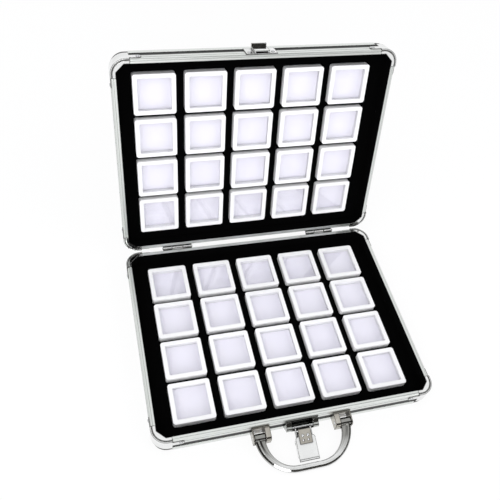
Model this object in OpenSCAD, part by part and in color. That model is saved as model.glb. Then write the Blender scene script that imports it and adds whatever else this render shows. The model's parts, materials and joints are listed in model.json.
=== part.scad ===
// Mineral specimen box: a flat aluminium-framed carrying case in two equal halves. Each half holds
// a foam tray with a grid of square gem jars. The halves are hinged at the back, and the front has
// a swinging handle between two brackets and a toggle latch that hooks over a catch on the lid.
//
// Millimetres, +Z up, +X to the right and +Y towards the hinges. The origin is the centre of the
// lower half's flat underside. The case stands open, with its lid leaning back on its hinge stops.
// Each half is drawn once, lying on its outside with its mouth up, and the lid is turned over.

/* [Case] */
// Outside width of the case, over the faces of the rails
case_w = 275.6; // [252:0.2:320]
// Outside depth of the case, over the faces of the rails
case_d = 208.8; // [196:0.2:250]
// Height of each half, from its flat outside to its mouth
half_h = 21.5; // [20:0.5:32]
// Outside radius of the case corners
corner_r = 14; // [10:0.5:16]
// Gap between the two mouths when the case is shut
seam = 0.4; // [0.2:0.1:1]
// Angle of the lid from shut, as it leans on its stops
lid_open = 106; // [100:1:115]

/* [Board shell] */
// Thickness of the board walls
board_t = 3.5; // [2.5:0.1:5]
// Thickness of the board floor
floor_t = 2; // [1.5:0.1:4]
// How far the black board lies behind the face of the rails
panel_step = 0.8; // [0.5:0.1:1.5]

/* [Rails and trims] */
// Thickness of the rail on top of the wall
rail_top_t = 1.2; // [0.8:0.1:2]
// Height of the rail on the outside of the wall
lip_h = 8.4; // [7.8:0.1:10]
// Width of the raised strip along the mouth
rail_flat_w = 2; // [1:0.1:2.6]
// Drop from the raised strip to the rest of the rail
rail_drop = 0.35; // [0.2:0.05:0.8]
// Depth of the decorative groove along the rail
groove_t = 0.35; // [0.1:0.05:0.5]
// Width of that groove
groove_w = 0.5; // [0.3:0.1:1]
// Height of the trim along the bottom edge
trim_h = 6.1; // [4:0.1:8]
// Width of the trim's foot under the floor
trim_foot = 6; // [3:0.5:12]

/* [Corner caps] */
// Length of a cap along each side, from the corner
cap_leg = 17.3; // [16.5:0.1:24]
// Height of a cap
cap_h = 14.5; // [11:0.5:18]
// How far a cap stands proud of the rails
cap_proud = 0.8; // [0.5:0.1:1.5]
// Legs of the diagonal across the inside of a cap
cap_diagonal = 7.6; // [5:0.1:12]
// Length of a cap's riveted tongue
tongue_l = 10.5; // [8:0.5:14]
// Height of a cap's riveted tongue
tongue_w = 6.4; // [4.5:0.1:7]
// Radius of a rivet's shank
rivet_r = 1; // [0.7:0.1:1.3]
// Radius of a rivet's head
rivet_head_r = 1.8; // [1.5:0.1:2.2]
// Height of a rivet's head
rivet_head_h = 0.8; // [0.4:0.1:1.2]

/* [Lining and foam] */
// Thickness of the black lining round the walls
lining_t = 0.6; // [0.3:0.1:1]
// Thickness of the foam tray
foam_h = 7.3; // [5:0.1:9]
// Foam left under each pocket
pocket_floor = 1; // [0.6:0.1:2]
// Gap between a jar and the side of its pocket
pocket_gap = 0.3; // [0.2:0.1:0.8]
// Gap between the foam and the lining
foam_gap = 0.2; // [0.1:0.1:0.6]

/* [Jars] */
// Jars in a row
jar_cols = 5; // [3:1:5]
// Rows of jars
jar_rows = 4; // [2:1:4]
// Width of the foam rib between two jars of a row
rib_x = 8.4; // [5:0.1:12]
// Width of the foam rib between two rows
rib_y = 4.7; // [3:0.1:7]
// How far the lid's grid of jars lies to one side
lid_grid_x = -2.2; // [-5:0.1:5]
// Outside width of a square jar
jar_w = 40; // [34:0.5:41]
// Corner radius of a jar
jar_r = 2.5; // [2:0.1:5]
// Height of a jar with its cover on
jar_h = 10.6; // [9.5:0.1:12]
// Height of a jar's cover
cover_h = 4.8; // [4.2:0.1:6]
// Thickness of the cover's skirt
skirt_t = 1; // [0.8:0.1:1.3]
// Gap between the skirt and the neck of the tray
jar_fit = 0.3; // [0.2:0.05:0.5]
// Width of the white frame round the window
frame_w = 4.2; // [3:0.1:7]
// Thickness of the white frame
frame_t = 1.2; // [0.8:0.1:1.6]
// Thickness of the clear window
window_t = 1; // [0.6:0.1:1.2]
// Wall of the jar's tray
tray_wall = 1; // [0.8:0.1:1.5]
// Floor of the jar's tray
tray_floor = 0.8; // [0.6:0.1:1.2]
// Thickness of the white pad in a jar
pad_h = 2.4; // [1.5:0.1:3]

/* [Hinges] */
// Distance of each hinge from the middle of the case
hinge_x = 82; // [60:0.5:86]
// Width of a hinge
hinge_w = 31.5; // [24:0.5:36]
// Thickness of a hinge leaf
leaf_t = 0.9; // [0.7:0.1:1.1]
// Height of a hinge leaf on the rail
leaf_h = 7.6; // [7.2:0.1:7.8]
// Distance of the hinge axis behind the rail's face
hinge_out = 1.8; // [1.7:0.1:2.4]
// Radius of the knuckles
knuckle_r = 1.5; // [1.3:0.05:1.5]
// Radius of the hinge pin
hinge_pin_r = 0.75; // [0.5:0.05:0.8]
// Width of the middle knuckle, which belongs to the lid
mid_knuckle_w = 11.5; // [8:0.5:14]
// Thickness of the stop
stop_t = 1; // [0.8:0.1:1.4]

/* [Handle] */
// Distance of each bracket from the middle of the case
bracket_x = 40; // [32:0.5:60]
// Height of the handle pivot below the mouth
pivot_drop = 10.5; // [10:0.5:12]
// Distance of the handle pivot from the face of the rails
pivot_out = 8; // [7.5:0.1:10]
// Reach of the handle from its pivot to its outer edge
handle_reach = 36; // [34:0.5:50]
// Width of the handle's band
band_w = 6.2; // [4:0.1:8]
// Thickness of the handle's band
band_t = 5.2; // [4:0.1:5.6]
// Width of a handle eye between its bracket's cheeks
eye_w = 10; // [8:0.5:14]
// Radius of a handle eye
eye_r = 3.7; // [3.2:0.1:4]
// Radius of the handle pins
handle_pin_r = 1.5; // [1:0.1:2]
// Thickness of a bracket's inner cheek
cheek_t = 5.2; // [3:0.1:6]
// Thickness of a bracket's outer cheek
outer_cheek_t = 1.2; // [0.8:0.1:2]
// Radius of the cheeks round the pin
cheek_r = 4.6; // [4.2:0.1:5]
// Thickness of a bracket's plate
bracket_t = 1.5; // [1:0.1:2.5]
// Height of a bracket's plate
bracket_h = 12; // [11.5:0.1:13]
// Space left under the handle as it lies out
table_gap = 0.4; // [0.3:0.1:1]

/* [Latch] */
// Height of the link's lower pin below the mouth
latch_drop = 10; // [9.5:0.1:11]
// Distance of the lower pin from the face of the rails
latch_out = 5; // [4.8:0.1:5.6]
// Distance of the upper pin from the face, with the latch shut
link_out = 4.8; // [4.8:0.1:5.2]
// Distance between the two pins of the link
link_l = 14.4; // [14:0.1:15.5]
// Angle of the link below level, with the latch open
latch_sag = 17; // [10:1:17]
// Half the width of the latch base
base_half_w = 15.8; // [14:0.1:17]
// Thickness of the base's cheeks
base_cheek_t = 5.5; // [3:0.1:5.5]
// Radius of the base's cheeks round the pin
base_cheek_r = 2.8; // [2.2:0.1:2.8]
// Radius of the lower pin
base_pin_r = 1.1; // [0.8:0.1:1.2]
// Radius of the upper pin
link_pin_r = 0.7; // [0.5:0.05:0.75]
// Thickness of the link's side arms
arm_t = 1.4; // [1:0.1:1.6]
// Width of the lever
lever_w = 19; // [18.6:0.1:19.4]
// Length of the lever below the upper pin
lever_l = 15.5; // [12:0.5:15.5]
// Length of the lever's shoulders above the upper pin
shoulder_l = 5.5; // [4:0.1:6]
// Thickness of the lever's plate and flanges
lever_t = 1.2; // [0.8:0.1:1.2]
// Width of the hook plate
hook_w = 12; // [8:0.5:12.5]
// Thickness of the hook plate
hook_t = 1; // [0.8:0.1:1.2]

/* [Catch] */
// Width of the catch plate
catch_w = 30; // [26:0.5:36]
// Height of the catch plate on the lid
catch_h = 14.5; // [14.3:0.1:18]
// Thickness of the catch plate
catch_t = 0.8; // [0.6:0.1:1]
// Width of the raised bridge
bridge_w = 14.4; // [13:0.1:15]
// How far the bridge stands out from the face
bridge_out = 3.1; // [2.6:0.1:3.2]
// Distance of the lip's hooked side from the mouth
lip_far = 14.2; // [14:0.1:14.2]
// How far the lip stands out from the face
lip_out = 5.8; // [5.2:0.1:5.9]

/* [Hidden] */
$fn = 64;

// Colours
aluminium = [0.87, 0.88, 0.87];
chrome = [0.78, 0.79, 0.8];
black_board = [0.05, 0.05, 0.055];
black_cloth = [0.02, 0.02, 0.022];
white_plastic = [0.97, 0.97, 0.97];
white_foam = [0.94, 0.94, 0.96];
clear_window = [0.9, 0.9, 1, 0.35];

// Fits and small allowances
pin_fit = 0.02;
turn_fit = 0.05;
side_fit = 0.3;
edge_gap = 0.1;
cut = 1;

// The half case, as lying on its outside
rail_w = panel_step + board_t;
shell_w = case_w - 2 * panel_step;
shell_d = case_d - 2 * panel_step;
shell_r = corner_r - panel_step;
wall_h = half_h - rail_top_t;
bore_w = case_w - 2 * rail_w;
bore_d = case_d - 2 * rail_w;
bore_r = corner_r - rail_w;
side_l = case_w - 2 * cap_leg;
end_l = case_d - 2 * cap_leg;
clear_w = bore_w - 2 * lining_t;
clear_d = bore_d - 2 * lining_t;
clear_r = bore_r - lining_t;
groove_z = lip_h / 2;
rivet_z = half_h - lip_h / 2 - 0.7;
rivet_along = tongue_l - tongue_w / 2;
rivet_grip = 2;

// The foam and the jars
jar_seat = floor_t + pocket_floor + edge_gap;
foam_w = clear_w - 2 * foam_gap;
foam_d = clear_d - 2 * foam_gap;
pitch_x = jar_w + rib_x;
pitch_y = jar_w + rib_y;
pocket_w = jar_w + 2 * pocket_gap;
cover_z = jar_h - cover_h;
window_z = jar_h - frame_t - window_t;
neck_w = jar_w - 2 * (skirt_t + jar_fit);
neck_h = window_z - side_fit;
loose_col = jar_cols - 1;
loose_row = 0;

// The hinge axis, about which the lid turns
axis_y = case_d / 2 + hinge_out;
axis_z = half_h + seam / 2;
side_knuckle_w = (hinge_w - mid_knuckle_w) / 2;
knuckle_gap = 0.2;
stop_l = axis_z - rivet_z - rivet_head_r - side_fit;

// The handle, drawn level and then tipped until it lies just over the table
pivot_y = -case_d / 2 - pivot_out;
pivot_z = half_h - pivot_drop;
handle_sag = asin((pivot_z - band_t / 2 - table_gap) / (handle_reach - band_w / 2));
slot_w = eye_w + 2 * side_fit;
bracket_w = slot_w + cheek_t + outer_cheek_t;
slot_x = (cheek_t - outer_cheek_t) / 2;
eye_x = bracket_x + slot_x;
bend_x = eye_x + eye_w / 2 - handle_reach;
bend_r = handle_reach - band_w / 2;
bracket_screw_x = 3;

// The latch, drawn shut and then opened round its two pins
front_y = -case_d / 2;
latch_z = half_h - latch_drop;
link_lean = asin((latch_out - link_out) / link_l);
link_turn = 90 + latch_sag + link_lean;
lever_turn = 90 - latch_sag;
link_top_z = latch_z + link_l * cos(link_lean);
base_in = base_half_w - base_cheek_t;
flange_x = lever_w / 2 - lever_t;
arm_x = flange_x - side_fit;
lever_out = lip_out + 1.2;
hook_z = half_h + seam + lip_far + 2 * side_fit;
screw_z = half_h - lip_h - 3.5;
screw_r = 1;
screw_head_r = 2.1;
screw_head_t = 1.2;
screw_slot_w = 0.6;
screw_xs = [base_half_w - 2.1, eye_x - bracket_screw_x, eye_x + bracket_screw_x];
hook_rivet_x = 2.5;
hook_rivet_z = 6;
hook_rivet_r = 0.7;
hook_hole_z = 1.8;
hook_hole_r = 0.9;
catch_rivet_x = catch_w / 2 - 3.6;
catch_rivet_z = half_h - 4.2;

// A slab with rounded corners
module round_slab(w, d, r, h) {
    linear_extrude(height = h) {
        square([w - 2 * r, d], center = true);
        square([w, d - 2 * r], center = true);
        for (x = [-1, 1], y = [-1, 1])
            translate([x * (w / 2 - r), y * (d / 2 - r)]) circle(r = r);
    }
}

// A cylinder along X, by its two ends
module rod_x(r, x0, x1) {
    translate([x0, 0, 0]) rotate([0, 90, 0]) cylinder(r = r, h = x1 - x0);
}

// A cylinder along Y, by its two ends
module rod_y(r, y0, y1) {
    translate([0, y0, 0]) rotate([-90, 0, 0]) cylinder(r = r, h = y1 - y0);
}

// Turned head of a rivet, on a face that looks along -Y
module rivet_head(r, h) {
    rotate([90, 0, 0]) rotate_extrude() polygon([
        [0, 0], [r, 0], [r * 0.92, h * 0.45], [r * 0.68, h * 0.8], [r * 0.35, h * 0.97], [0, h]
    ]);
}

// A rivet on a face that looks along -Y, which starts at the face and grips what lies behind
module rivet(grip) {
    rod_y(rivet_r, -rivet_head_h / 2, grip);
    rivet_head(rivet_head_r, rivet_head_h);
}

// Turns a half over and leans it back about the hinge axis, so that it becomes the lid
module as_lid() {
    translate([0, axis_y, axis_z]) rotate([-lid_open, 0, 0]) translate([0, -axis_y, 0])
        mirror([0, 0, 1]) translate([0, 0, -axis_z]) children();
}

// Puts what is drawn for the front right corner at any corner
module at_corner(side, end) {
    mirror([side < 0 ? 1 : 0, 0, 0]) mirror([0, end > 0 ? 1 : 0, 0]) children();
}

// Turns what is drawn on the front face to a side face, at half the case's other size
module on_side() {
    rotate([0, 0, 90]) translate([0, (case_d - case_w) / 2, 0]) children();
}

// Places of the cap rivets at the front right corner, one on the front and one on the side
module at_cap_rivets() {
    translate([case_w / 2 - cap_leg - rivet_along, front_y, rivet_z]) children();
    translate([case_w / 2, front_y + cap_leg + rivet_along, rivet_z]) rotate([0, 0, 90])
        children();
}

module cap_rivet_holes() {
    for (side = [-1, 1], end = [-1, 1]) at_corner(side, end) at_cap_rivets()
        rod_y(rivet_r + pin_fit, -5, rivet_grip);
}

module hinge_rivet_holes() {
    for (side = [-1, 1], k = [-1, 0, 1])
        translate([side * hinge_x + k * hinge_w / 3, case_d / 2, rivet_z]) mirror([0, 1, 0])
            rod_y(rivet_r + pin_fit, -5, rivet_grip);
}

module catch_rivet_holes() {
    for (side = [-1, 1]) translate([side * catch_rivet_x, front_y, catch_rivet_z])
        rod_y(rivet_r + pin_fit, -5, rivet_grip);
}

// Board tub with a rebate for the feet of the trims
module half_shell() {
    difference() {
        round_slab(shell_w, shell_d, shell_r, wall_h);
        translate([0, 0, floor_t]) round_slab(bore_w, bore_d, bore_r, half_h);
        for (end = [0, 1]) mirror([0, end, 0])
            translate([-side_l / 2, -shell_d / 2 - cut, -cut])
                cube([side_l, trim_foot + cut, panel_step + cut]);
        for (end = [0, 1]) mirror([end, 0, 0])
            translate([-shell_w / 2 - cut, -end_l / 2, -cut])
                cube([trim_foot + cut, end_l, panel_step + cut]);
        cap_rivet_holes();
        hinge_rivet_holes();
    }
}

// Extruded rail along the front, from its raised inner strip over the wall and down its face
module rail_bar(length) {
    translate([length / 2, front_y, half_h]) rotate([90, 0, -90]) linear_extrude(height = length)
        polygon([
            [-rail_w, 0], [-rail_w, -rail_top_t], [-panel_step, -rail_top_t],
            [-panel_step, -lip_h], [0, -lip_h], [0, -groove_z - groove_w / 2],
            [-groove_t, -groove_z - groove_w / 2], [-groove_t, -groove_z + groove_w / 2],
            [0, -groove_z + groove_w / 2], [0, -rail_drop - 1], [-0.3, -rail_drop - 0.3],
            [-1, -rail_drop], [-rail_w + rail_flat_w + 0.2, -rail_drop],
            [-rail_w + rail_flat_w, 0]
        ]);
}

module half_rail_front() {
    difference() {
        rail_bar(side_l);
        cap_rivet_holes();
    }
}

module half_rail_back() {
    difference() {
        mirror([0, 1, 0]) rail_bar(side_l);
        cap_rivet_holes();
        hinge_rivet_holes();
    }
}

module half_rail_right() {
    difference() {
        on_side() rail_bar(end_l);
        cap_rivet_holes();
    }
}

module half_rail_left() {
    mirror([1, 0, 0]) half_rail_right();
}

// Angle trim along the bottom edge, its foot let into the floor
module trim_bar(length) {
    translate([length / 2, front_y, 0]) rotate([90, 0, -90]) linear_extrude(height = length)
        polygon([
            [0, 0.5], [0, trim_h], [-panel_step, trim_h], [-panel_step, panel_step],
            [-panel_step - trim_foot, panel_step], [-panel_step - trim_foot, 0], [-0.5, 0]
        ]);
}

module half_bottom_trims() {
    for (end = [0, 1]) mirror([0, end, 0]) trim_bar(side_l);
    for (end = [0, 1]) mirror([end, 0, 0]) on_side() trim_bar(end_l);
}

// Outline of the case corner, cut to the square that a cap covers
module cap_outline(grow) {
    intersection() {
        translate([case_w / 2 - cap_leg, -case_d / 2 - 2 * cap_leg])
            square([3 * cap_leg, 3 * cap_leg]);
        union() {
            square([case_w + 2 * grow, case_d - 2 * corner_r], center = true);
            square([case_w - 2 * corner_r, case_d + 2 * grow], center = true);
            translate([case_w / 2 - corner_r, corner_r - case_d / 2])
                circle(r = corner_r + grow);
        }
    }
}

// The mouth's inner edge as a cap leaves it, with its diagonal across the corner
module cap_mouth() {
    x = bore_w / 2;
    y = bore_d / 2;
    polygon([[0, 0], [x, 0], [x, cap_diagonal - y], [x - cap_diagonal, -y], [0, -y]]);
}

// Riveted tongue that lies on the front rail beside the front right cap
module cap_tongue() {
    x_end = case_w / 2 - cap_leg;
    difference() {
        translate([x_end, front_y, rivet_z]) union() {
            translate([-rivet_along, -cap_proud, -tongue_w / 2])
                cube([rivet_along + 0.5, cap_proud, tongue_w]);
            translate([-rivet_along, 0, 0]) rod_y(tongue_w / 2, -cap_proud, 0);
        }
        translate([x_end - rivet_along, front_y, rivet_z]) rod_y(rivet_r + pin_fit, -5, 5);
    }
}

// Cap for the front right corner: wall, mouth flange, groove between them and two tongues
module half_cap() {
    groove_in = rail_w - 1.3;
    groove_out = rail_w - 0.4;
    difference() {
        translate([0, 0, half_h - cap_h]) linear_extrude(height = cap_h) cap_outline(cap_proud);
        translate([0, 0, -cut]) linear_extrude(height = wall_h + cut)
            cap_outline(-panel_step);
        translate([0, 0, wall_h - cut]) linear_extrude(height = half_h) cap_mouth();
        translate([0, 0, half_h - rail_top_t / 2]) linear_extrude(height = half_h)
            difference() {
                cap_outline(-rail_w + groove_out);
                cap_outline(-rail_w + groove_in);
            }
    }
    cap_tongue();
    translate([case_w / 2, -case_d / 2, 0]) mirror([1, 1, 0])
        translate([-case_w / 2, case_d / 2, 0]) cap_tongue();
}

module half_cap_rivets() {
    for (side = [-1, 1], end = [-1, 1]) at_corner(side, end) at_cap_rivets()
        translate([0, -cap_proud, 0]) rivet(rivet_grip - edge_gap + cap_proud);
}

// Strip round the inside of the walls, cut down under the flanges of the caps
module half_lining() {
    corner = cap_leg + cut;
    tall = half_h;
    difference() {
        translate([0, 0, floor_t]) round_slab(bore_w, bore_d, bore_r, half_h - floor_t - side_fit);
        translate([0, 0, floor_t - cut]) round_slab(clear_w, clear_d, clear_r, half_h);
        for (side = [-1, 1], end = [-1, 1])
            translate([side * (case_w / 2 - cap_leg + corner / 2 - edge_gap),
                       end * (case_d / 2 - cap_leg + corner / 2 - edge_gap),
                       wall_h - edge_gap + tall / 2])
                cube([corner, corner, tall], center = true);
    }
}

// Places in the grid, leaving out the loose jar's where it is asked to
module at_jars(shift, skip_loose) {
    for (i = [0 : jar_cols - 1], j = [0 : jar_rows - 1])
        if (!(skip_loose && i == loose_col && j == loose_row))
            at_jar(i, j, shift) children();
}

module at_jar(i, j, shift) {
    translate([(i - (jar_cols - 1) / 2) * pitch_x + shift, (j - (jar_rows - 1) / 2) * pitch_y,
               jar_seat]) children();
}

// Foam tray with a pocket for every jar
module half_foam(shift) {
    difference() {
        translate([0, 0, floor_t])
            round_slab(foam_w, foam_d, clear_r - foam_gap, foam_h);
        at_jars(shift, false) translate([0, 0, -edge_gap])
            round_slab(pocket_w, pocket_w, jar_r + pocket_gap, foam_h);
    }
}

// Tray of a gem jar: a body as wide as the cover, with a neck that the cover fits over
module jar_tray() {
    difference() {
        union() {
            round_slab(jar_w, jar_w, jar_r, cover_z - side_fit);
            round_slab(neck_w, neck_w, jar_r - skirt_t, neck_h);
        }
        translate([0, 0, tray_floor])
            round_slab(neck_w - 2 * tray_wall, neck_w - 2 * tray_wall, 0.6, jar_h);
    }
}

module jar_pad() {
    pad_w = neck_w - 2 * tray_wall - 2 * foam_gap;
    translate([0, 0, tray_floor]) round_slab(pad_w, pad_w, 0.5, pad_h);
}

// White cover with a square opening over its window
module jar_cover() {
    difference() {
        translate([0, 0, cover_z]) round_slab(jar_w, jar_w, jar_r, cover_h);
        translate([0, 0, cover_z - cut])
            round_slab(jar_w - 2 * skirt_t, jar_w - 2 * skirt_t, jar_r - skirt_t,
                       cover_h - frame_t + cut);
        round_slab(jar_w - 2 * frame_w, jar_w - 2 * frame_w, 0.8, 2 * jar_h);
    }
}

module jar_window() {
    w = jar_w - 2 * skirt_t - 2 * foam_gap;
    translate([0, 0, window_z]) round_slab(w, w, jar_r - skirt_t, window_t);
}

// A leaf on the back face of a half, with its knuckles on the hinge axis and what is added to it
module hinge_leaf(knuckles, bore) {
    z0 = half_h - leaf_h - edge_gap;
    z1 = axis_z - knuckle_r - side_fit;
    difference() {
        union() {
            translate([-hinge_w / 2, case_d / 2, z0]) cube([hinge_w, leaf_t, z1 - z0]);
            for (k = knuckles) {
                translate([0, axis_y, axis_z]) rod_x(knuckle_r, k[0], k[1]);
                translate([k[0], case_d / 2, z1 - cut])
                    cube([k[1] - k[0], leaf_t, axis_z - z1 + cut]);
            }
            children();
        }
        translate([0, axis_y, axis_z]) rod_x(hinge_pin_r + bore, -hinge_w, hinge_w);
        for (k = [-1, 0, 1]) translate([k * hinge_w / 3, case_d / 2, rivet_z])
            mirror([0, 1, 0]) rod_y(rivet_r + pin_fit, -5, 5);
    }
}

side_knuckles = [[-hinge_w / 2, -mid_knuckle_w / 2 - knuckle_gap],
                 [mid_knuckle_w / 2 + knuckle_gap, hinge_w / 2]];
mid_knuckle = [[-mid_knuckle_w / 2, mid_knuckle_w / 2]];

// Stop behind the outer knuckles, which the open lid's leaf leans on
module hinge_stops() {
    for (k = side_knuckles) translate([k[0], axis_y, axis_z]) rotate([90 - lid_open, 0, 0])
        translate([side_fit, 0, hinge_out - leaf_t - side_fit - stop_t])
            cube([k[1] - k[0] - 2 * side_fit, stop_l, stop_t]);
}

module base_leaf() {
    hinge_leaf(side_knuckles, pin_fit) hinge_stops();
}

module lid_leaf() {
    as_lid() hinge_leaf(mid_knuckle, turn_fit);
}

module hinge_pin() {
    translate([0, axis_y, axis_z]) {
        rod_x(hinge_pin_r, -hinge_w / 2 - 0.1, hinge_w / 2 + 0.1);
        for (side = [0, 1]) mirror([side, 0, 0])
            rod_x(hinge_pin_r + 0.35, hinge_w / 2 + 0.05, hinge_w / 2 + 0.6);
    }
}

module half_hinge_rivets() {
    for (side = [-1, 1], k = [-1, 0, 1])
        translate([side * hinge_x + k * hinge_w / 3, case_d / 2 + leaf_t, rivet_z])
            mirror([0, 1, 0]) rivet(rivet_grip - edge_gap + leaf_t);
}

// Cross-section of the handle's band: sloped faces that meet in a narrow crest, above and below
function band_points(w, t) = [
    [w / 2, -t * 0.1], [w / 2, t * 0.1], [w * 0.4, t * 0.28], [w * 0.1, t / 2],
    [-w * 0.1, t / 2], [-w * 0.4, t * 0.28], [-w / 2, t * 0.1], [-w / 2, -t * 0.1],
    [-w * 0.4, -t * 0.28], [-w * 0.1, -t / 2], [w * 0.1, -t / 2], [w * 0.4, -t * 0.28]
];

// Web inside a quarter bend, which widens the arm towards its eye
module handle_web() {
    inner_r = bend_r - band_w / 2;
    low = inner_r + side_fit;
    reach = handle_reach - eye_w;
    web_r = (reach * reach + low * low) / (2 * low);
    web_t = band_t * 0.56;
    translate([bend_x, 0, -web_t / 2]) difference() {
        intersection() {
            cylinder(r = inner_r + 1, h = web_t);
            translate([0, -inner_r - 1, 0]) cube([inner_r + 1, inner_r + 1, web_t]);
        }
        translate([0, web_r - low, -cut]) cylinder(r = web_r, h = web_t + 2 * cut);
    }
}

// Polished bail: two quarter bends with their webs, the stretch between them and two eyes
module handle_flat() {
    difference() {
        union() {
            for (side = [0, 1]) mirror([side, 0, 0]) {
                translate([bend_x, 0, 0]) rotate([0, 0, -90]) rotate_extrude(angle = 90)
                    translate([bend_r, 0]) polygon(band_points(band_w, band_t));
                handle_web();
                rod_x(eye_r, eye_x - eye_w / 2, eye_x + eye_w / 2);
            }
            translate([-bend_x, -bend_r, 0]) rotate([90, 0, 90])
                linear_extrude(height = 2 * bend_x) polygon(band_points(band_w, band_t));
        }
        rod_x(handle_pin_r + turn_fit, -eye_x - eye_w, eye_x + eye_w);
    }
}

// Right bracket: a plate with a thick inner and a thin outer cheek, and a stop between them that
// the handle lies on
module bracket() {
    h = bracket_h / 2;
    tip = pivot_out + cheek_r - 0.2;
    difference() {
        union() {
            translate([-bracket_w / 2, -bracket_t, -h]) cube([bracket_w, bracket_t, bracket_h]);
            for (c = [[-bracket_w / 2, cheek_t], [bracket_w / 2 - outer_cheek_t, outer_cheek_t]]) {
                translate([c[0], 0, 0]) rotate([90, 0, 90]) linear_extrude(height = c[1])
                    polygon([[0, -h], [-tip, -h + 0.4], [-tip, 0], [-pivot_out, cheek_r], [0, h]]);
                translate([0, -pivot_out, 0]) rod_x(cheek_r, c[0], c[0] + c[1]);
            }
            translate([-bracket_w / 2, -tip, -h + 0.4]) cube([bracket_w, 2.8, 1.5]);
        }
        translate([0, -pivot_out, 0]) rod_x(handle_pin_r + pin_fit, -bracket_w, bracket_w);
        for (side = [-1, 1])
            translate([slot_x + side * bracket_screw_x, 0, screw_z - pivot_z])
                rod_y(screw_r + pin_fit, -3, 1);
    }
}

module handle_pin(side) {
    translate([side * bracket_x, pivot_y, pivot_z]) rod_x(handle_pin_r, -bracket_w / 2, bracket_w / 2);
}

module screw_holes() {
    for (side = [-1, 1], x = screw_xs) translate([side * x, 0, screw_z]) {
        rod_y(screw_r + pin_fit, front_y - cut, front_y + rail_w + cut);
        rod_y(screw_head_r + 2 * edge_gap, front_y + rail_w - screw_head_t,
              front_y + rail_w + cut);
    }
}

// Screws driven from inside the front wall, their heads sunk under the lining
module hardware_screws() {
    for (side = [-1, 1], k = [0 : 2]) translate([side * screw_xs[k], 0, screw_z]) {
        rod_y(screw_r, front_y - (k == 0 ? 3 : bracket_t), front_y + rail_w - screw_slot_w);
        difference() {
            rod_y(screw_head_r, front_y + rail_w - screw_head_t, front_y + rail_w - edge_gap);
            translate([-screw_slot_w / 2, front_y + rail_w - screw_slot_w, -2 * screw_head_r])
                cube([screw_slot_w, screw_head_t + cut, 4 * screw_head_r]);
        }
    }
}

// Latch base: a plate with a window, and rounded cheeks that carry the lower pin
module base_of_latch() {
    z0 = latch_z - 7;
    z1 = half_h - 2.7;
    difference() {
        union() {
            translate([-base_half_w, front_y - 1, z0]) cube([2 * base_half_w, 1, z1 - z0]);
            for (x = [-base_half_w, base_in]) translate([0, front_y, latch_z]) {
                translate([x, 0, 0]) rotate([90, 0, 90]) linear_extrude(height = base_cheek_t)
                    polygon([[0, -6], [-2, -6], [-latch_out - base_cheek_r, -1],
                             [-latch_out - base_cheek_r, 0], [-latch_out, base_cheek_r],
                             [-1.5, 5.5], [0, 5.5]]);
                translate([0, -latch_out, 0]) rod_x(base_cheek_r, x, x + base_cheek_t);
            }
            translate([-base_in - 0.5, front_y - latch_out - 2.2, latch_z - 3.6])
                cube([2 * base_in + 1, latch_out + 2.2, 1.2]);
        }
        translate([-base_in, front_y - 2, latch_z - 2.4]) cube([2 * base_in, 3, 6]);
        translate([0, front_y - latch_out, latch_z])
            rod_x(base_pin_r + pin_fit, -base_half_w - cut, base_half_w + cut);
        for (side = [-1, 1]) translate([side * screw_xs[0], front_y, screw_z])
            rod_y(screw_r + pin_fit, -3.2, 1);
    }
}

// Puts what is drawn for the shut latch, round its lower pin, where the open link holds it
module open_link() {
    translate([0, front_y - latch_out, latch_z]) rotate([link_turn, 0, 0]) children();
}

// The same for what turns with the lever, drawn round the upper pin
module open_lever() {
    open_link() translate([0, latch_out - link_out, link_top_z - latch_z])
        rotate([-link_turn - lever_turn, 0, 0]) children();
}

// Link, drawn shut: two arms with an eye at each end, joined by a web on their outer side
module link_shut() {
    top = [latch_out - link_out, link_top_z - latch_z];
    difference() {
        union() {
            for (x = [-arm_x, arm_x - arm_t]) {
                rod_x(1.7, x, x + arm_t);
                translate([0, top[0], top[1]]) rod_x(1.3, x, x + arm_t);
                translate([x, 0, 0]) rotate([90, 0, 90]) linear_extrude(height = arm_t)
                    polygon([[-1.3, 0], [top[0] - 1.1, top[1]], [top[0] + 1, top[1]], [1.3, 0]]);
            }
            translate([-arm_x, -1.3, 4.4]) cube([2 * arm_x, 0.7, 6.2]);
        }
        rod_x(base_pin_r + turn_fit, -arm_x - cut, arm_x + cut);
        translate([0, top[0], top[1]]) rod_x(link_pin_r + turn_fit, -arm_x - cut, arm_x + cut);
    }
}

// Holes for the hook's rivets, and the two openings below them
module hook_holes(y) {
    for (side = [-1, 1]) {
        translate([side * hook_rivet_x, y, hook_rivet_z]) rod_y(hook_rivet_r + pin_fit, -3, 3);
        translate([side * hook_rivet_x, y, hook_hole_z]) rod_y(hook_hole_r, -3, 3);
    }
}

// Lever, drawn shut round the upper pin: plate with rounded shoulders, side flanges with an
// eye each, a neck that carries the hook plate and a rolled end for the finger
module lever_shut() {
    y = link_out - lever_out;
    r = 2.5;
    flange_l = link_l - base_pin_r - 0.6;
    difference() {
        union() {
            translate([0, y, 0]) rotate([90, 0, 0]) linear_extrude(height = lever_t) {
                translate([-lever_w / 2, -lever_l]) square([lever_w, lever_l + shoulder_l - r]);
                translate([-lever_w / 2 + r, 0]) square([lever_w - 2 * r, shoulder_l]);
                for (x = [-1, 1]) translate([x * (lever_w / 2 - r), shoulder_l - r]) circle(r = r);
                translate([-hook_w / 2 - 0.5, 0]) square([hook_w + 1, shoulder_l + 3]);
            }
            for (x = [-lever_w / 2, flange_x]) {
                translate([x, y - 0.1, -flange_l]) cube([lever_t, 0.8 - y + 0.1, flange_l + 2.5]);
                rod_x(1.9, x, x + lever_t);
                translate([x, y - 0.1, -1.9]) cube([lever_t, 0.1 - y, 3.8]);
            }
            translate([0, y - lever_t + 0.2, -lever_l]) rod_x(1, -lever_w / 2, lever_w / 2);
        }
        rod_x(link_pin_r + turn_fit, -lever_w, lever_w);
        hook_holes(y);
    }
}

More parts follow.
